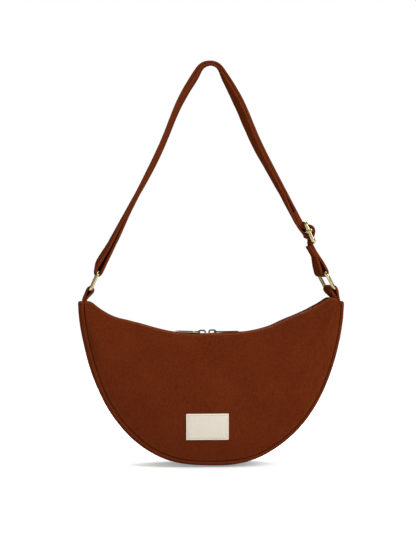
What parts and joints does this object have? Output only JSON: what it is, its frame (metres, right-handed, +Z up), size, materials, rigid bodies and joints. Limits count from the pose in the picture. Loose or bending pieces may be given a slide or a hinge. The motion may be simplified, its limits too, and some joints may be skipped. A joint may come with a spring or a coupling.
{
  "type": "shoulder bag",
  "caption": "Half-moon zip-top canvas shoulder bag on an adjustable folded strap, hung from wire rings at its tips; the zip sliders, pulls, rings and strap adjuster move.",
  "frame": {"origin": "underside of the strap at its bend, where a hook or a shoulder carries it", "axes": "+Z up, -Y out of the bag's front panel, +X to the viewer's right"},
  "size_m": [0.34, 0.0821, 0.5189],
  "materials": {
    "canvas": "rust-brown cotton canvas, matt",
    "strap": "the same canvas folded to a strap and edge stitched",
    "binding": "dark brown seam binding",
    "zip_tape": "dark brown woven tape",
    "zip_coil": "grey-bronze coil",
    "bronze": "dark antique bronze plating",
    "brass": "pale antique brass plating",
    "label": "cream cloth, bare"
  },
  "bodies": {
    "strap": {"strap_main": "strap", "strap_inner_slack": "strap", "strap_outer_slack": "strap", "strap_end_tab": "strap"},
    "left_ring": {"ring_left": "brass"},
    "bag": {"front_panel": "canvas", "rear_panel": "canvas", "gusset": "canvas", "front_seam_binding": "binding", "rear_seam_binding": "binding", "label": "label", "zip_tape_front": "zip_tape", "zip_tape_rear": "zip_tape", "zip_coil_front": "zip_coil", "zip_coil_rear": "zip_coil", "zip_stop_left": "bronze", "zip_stop_right": "bronze", "zip_end_cover_left": "canvas", "zip_end_cover_right": "canvas", "ring_tab_left": "canvas", "ring_tab_right": "canvas"},
    "right_ring": {"ring_right": "brass"},
    "left_slider": {"slider_left_body": "bronze", "slider_left_bridge": "bronze"},
    "left_pull": {"pull_left": "bronze"},
    "right_slider": {"slider_right_body": "bronze", "slider_right_bridge": "bronze"},
    "right_pull": {"pull_right": "bronze"},
    "adjuster": {"adjuster": "brass", "strap_sewn_end": "strap", "strap_over_bar": "strap"}
  },
  "joints": [
    {"name": "left_ring_tilt", "type": "hinge", "parent": "strap", "child": "left_ring", "pos_m": [-0.14267, 0, -0.26848], "axis": [0, 1, 0], "range_deg": [-10.8, 10.8]},
    {"name": "bag_sway", "type": "hinge", "parent": "left_ring", "child": "bag", "pos_m": [-0.15235, 0, -0.29044], "axis": [0, 1, 0], "range_deg": [-10, 10]},
    {"name": "right_ring_tilt", "type": "hinge", "parent": "bag", "child": "right_ring", "pos_m": [0.15755, 0, -0.29044], "axis": [-0.2572, 0.9563, -0.1391], "range_deg": [-11, 11]},
    {"name": "left_slider_run", "type": "hinge", "parent": "bag", "child": "left_slider", "pos_m": [-0.0094, 0, -0.05644], "axis": [0, 1, 0], "range_deg": [0, 23.5]},
    {"name": "left_pull_swing", "type": "hinge", "parent": "left_slider", "child": "left_pull", "pos_m": [-0.0111, 0, -0.3436], "axis": [0, 1, 0], "range_deg": [0, 130]},
    {"name": "right_slider_run", "type": "hinge", "parent": "bag", "child": "right_slider", "pos_m": [-0.0094, 0, -0.05644], "axis": [0, -1, 0], "range_deg": [0, 24.5]},
    {"name": "right_pull_swing", "type": "hinge", "parent": "right_slider", "child": "right_pull", "pos_m": [0.00567, 0, -0.34321], "axis": [0, -1, 0], "range_deg": [0, 130]},
    {"name": "adjuster_slide", "type": "slide", "parent": "strap", "child": "adjuster", "axis": [-0.4573, 0, 0.8893], "range_m": [0, 0.05], "deforming": ["strap_inner_slack", "strap_outer_slack"]}
  ],
  "couplings": [
    {"joint": "left_ring_tilt", "follows": "bag_sway", "ratio": -1.074},
    {"joint": "right_ring_tilt", "follows": "bag_sway", "ratio": -1.092}
  ]
}
